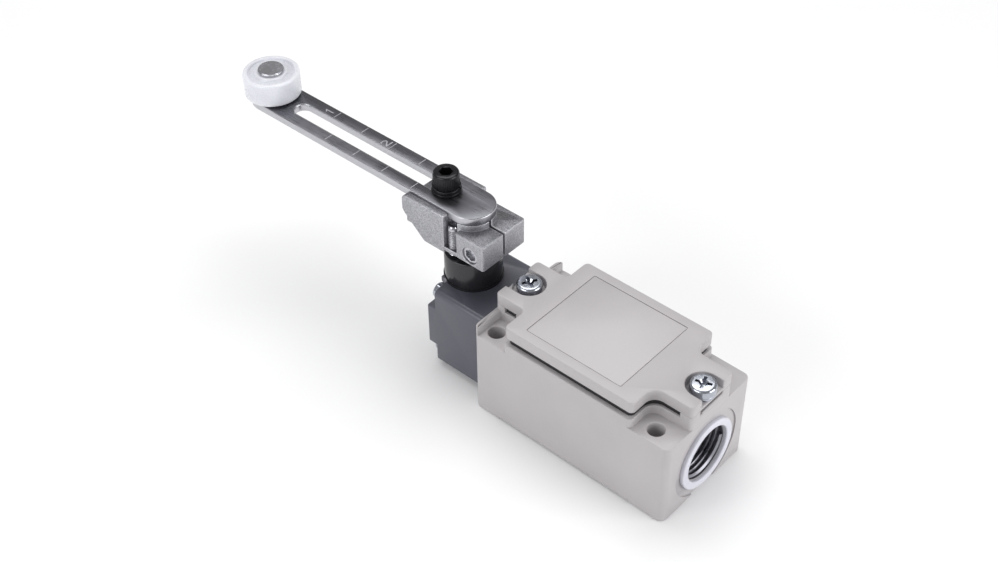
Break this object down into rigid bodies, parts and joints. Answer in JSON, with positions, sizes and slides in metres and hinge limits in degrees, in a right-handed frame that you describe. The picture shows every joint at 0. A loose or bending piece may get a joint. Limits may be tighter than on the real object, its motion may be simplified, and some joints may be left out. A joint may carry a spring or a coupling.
{
  "type": "limit switch",
  "caption": "Die-cast metal limit switch with a rotary head and an adjustable slotted lever carrying a plastic roller; the lever swings and springs back.",
  "frame": {"origin": "centre of the four mounting holes, on the plane of the back face", "axes": "+Z from the back face to the cover, +Y from the conduit end to the head and roller, +X to the right of both"},
  "size_m": [0.04, 0.1902, 0.0689],
  "materials": {
    "die_cast_housing": "fine silver-grey enamel over die-cast alloy",
    "dark_die_cast": "dark slate enamel over die-cast alloy, lightly pebbled",
    "zinc_plated_steel": "bright zinc plate",
    "panel_foil": "satin silver foil",
    "white_plastic": "white moulded plastic",
    "black_plastic": "black moulded plastic, semi-gloss",
    "seal_rubber": "dark grey nitrile",
    "sintered_bronze": "oil-filled sintered bronze",
    "switch_plastic": "dark moulded thermoset",
    "contact_copper": "copper alloy strip with silver contact faces",
    "terminal_brass": "yellow passivated brass",
    "spring_steel": "drawn spring wire and strip",
    "machined_steel": "turned steel",
    "hardened_steel": "hardened and ground steel",
    "sintered_steel": "sintered steel with a speckled, slightly porous skin",
    "black_steel": "black oxide",
    "lever_steel": "brushed steel strip with bright chamfered edges",
    "roller_nylon": "natural white nylon, slightly translucent",
    "carrier_plastic": "moulded contact carrier"
  },
  "bodies": {
    "housing": {"base_housing": "die_cast_housing", "cover": "die_cast_housing", "cover_gasket": "seal_rubber", "cover_screws": "zinc_plated_steel", "cover_screw_washers": "zinc_plated_steel", "rating_panel": "panel_foil", "conduit_ring": "white_plastic", "head_housing": "dark_die_cast", "head_gasket": "seal_rubber", "head_screws": "zinc_plated_steel", "turret_collar": "black_plastic", "shaft_seal": "seal_rubber", "upper_bush": "sintered_bronze", "lower_bush": "sintered_bronze", "plunger_bush": "sintered_bronze", "plunger_seal": "seal_rubber", "switch_case": "switch_plastic", "switch_lid": "switch_plastic", "case_screws": "zinc_plated_steel", "nc_contacts": "contact_copper", "no_contacts": "contact_copper", "terminal_screws": "zinc_plated_steel", "terminal_clamps": "terminal_brass", "ground_screw": "terminal_brass", "ground_washer": "zinc_plated_steel", "return_spring": "spring_steel"},
    "shaft": {"rotary_shaft": "machined_steel", "drive_cam": "hardened_steel", "shaft_circlip": "spring_steel"},
    "hub": {"lever_hub": "sintered_steel", "hub_clamp_screw": "machined_steel", "hub_side_screw": "machined_steel", "lock_screw": "black_steel", "lock_spring_washer": "black_steel", "lock_washer": "black_steel"},
    "arm": {"lever_arm": "lever_steel", "roller_pin": "machined_steel", "roller_washer": "machined_steel"},
    "roller": {"roller": "roller_nylon"},
    "plunger": {"drive_plunger": "machined_steel", "contact_carrier": "carrier_plastic", "contact_bridge": "contact_copper"}
  },
  "joints": [
    {"name": "lever_swing", "type": "hinge", "parent": "housing", "child": "shaft", "pos_m": [0, 0.053, 0], "axis": [0, 0, 1], "range_deg": [-75, 75], "stiffness_Nm_per_rad": 0.3},
    {"name": "hub_index", "type": "hinge", "parent": "shaft", "child": "hub", "pos_m": [0, 0.053, 0], "axis": [0, 0, 1], "continuous": true},
    {"name": "lever_extend", "type": "slide", "parent": "hub", "child": "arm", "axis": [0, 1, 0], "range_m": [-0.064, 0]},
    {"name": "roller_spin", "type": "hinge", "parent": "arm", "child": "roller", "pos_m": [0, 0.142, 0], "axis": [0, 0, 1], "continuous": true},
    {"name": "plunger_slide", "type": "slide", "parent": "housing", "child": "plunger", "axis": [0, -1, 0], "range_m": [-0.001, 0.001], "deforming": ["return_spring"]}
  ],
  "couplings": [
    {"joint": "lever_swing", "follows": "plunger_slide", "rad_per_m": 1310}
  ]
}
